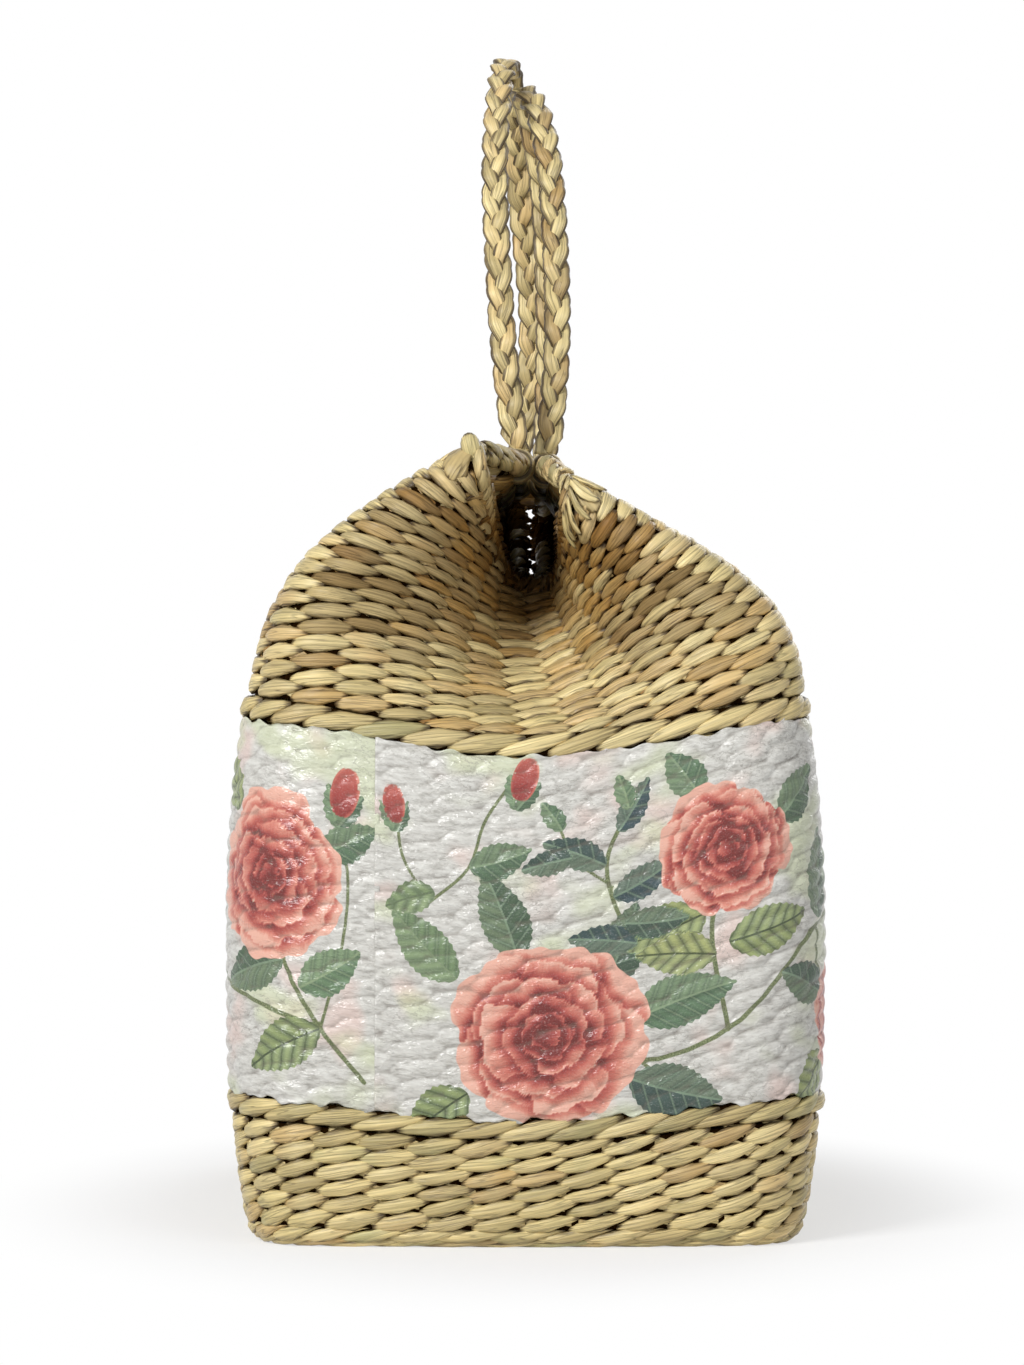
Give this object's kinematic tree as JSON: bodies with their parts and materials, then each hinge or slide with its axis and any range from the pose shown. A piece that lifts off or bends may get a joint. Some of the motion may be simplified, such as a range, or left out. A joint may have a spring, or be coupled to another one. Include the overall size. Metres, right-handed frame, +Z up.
{
  "type": "woven picnic hamper",
  "caption": "Twined reed hamper bag with a flat base, paper-covered band, folded-in ends, a narrow mouth and plaited carrying handles.",
  "frame": {"origin": "on the floor under the middle of the base", "axes": "+X across the width towards the back long side, +Y along the length towards the far end, +Z up"},
  "size_m": [0.222, 0.35, 0.4565],
  "materials": {
    "reed_weave": "dried water reed, twined, waxy straw sheen",
    "reed_border": "dried water reed, twisted and wrapped border",
    "reed_plait": "dried water reed, three-strand plait",
    "painted_reed": "white paint over woven reed",
    "varnished_paper": "thin printed paper glued on and varnished, glossy"
  },
  "bodies": {
    "basket": {"base_mat": "reed_weave", "foot_row": "reed_weave", "lower_row_1": "reed_weave", "lower_row_2": "reed_weave", "lower_row_3": "reed_weave", "lower_row_4": "reed_weave", "lower_row_5": "reed_weave", "lower_row_6": "reed_weave", "lower_border": "reed_border", "painted_wall": "painted_reed", "paper_wrap": "varnished_paper", "shoulder_border": "reed_border", "near_front_gusset": "reed_weave", "near_back_gusset": "reed_weave", "far_front_gusset": "reed_weave", "far_back_gusset": "reed_weave", "near_front_gusset_rim": "reed_border", "near_back_gusset_rim": "reed_border", "far_front_gusset_rim": "reed_border", "far_back_gusset_rim": "reed_border"},
    "front_flap": {"front_upper_wall": "reed_weave", "front_rim": "reed_border"},
    "front_handle": {"front_handle_plait": "reed_plait", "front_handle_near_loop": "reed_plait", "front_handle_far_loop": "reed_plait"},
    "back_flap": {"back_upper_wall": "reed_weave", "back_rim": "reed_border"},
    "back_handle": {"back_handle_plait": "reed_plait", "back_handle_near_loop": "reed_plait", "back_handle_far_loop": "reed_plait"}
  },
  "joints": [
    {"name": "front_wall_flex", "type": "hinge", "parent": "basket", "child": "front_flap", "pos_m": [-0.1015, 0, 0.197], "axis": [0, -1, 0], "range_deg": [0, 20], "stiffness_Nm_per_rad": 1.5, "deforming": ["near_front_gusset", "far_front_gusset", "near_front_gusset_rim", "far_front_gusset_rim"]},
    {"name": "front_handle_swing", "type": "hinge", "parent": "front_flap", "child": "front_handle", "pos_m": [-0.003, 0, 0.289], "axis": [0, -1, 0], "range_deg": [0, 90]},
    {"name": "back_wall_flex", "type": "hinge", "parent": "basket", "child": "back_flap", "pos_m": [0.1015, 0, 0.197], "axis": [0, 1, 0], "range_deg": [0, 20], "stiffness_Nm_per_rad": 1.5, "deforming": ["near_back_gusset", "far_back_gusset", "near_back_gusset_rim", "far_back_gusset_rim"]},
    {"name": "back_handle_swing", "type": "hinge", "parent": "back_flap", "child": "back_handle", "pos_m": [0.0084, 0, 0.288], "axis": [0, 1, 0], "range_deg": [0, 98]}
  ]
}
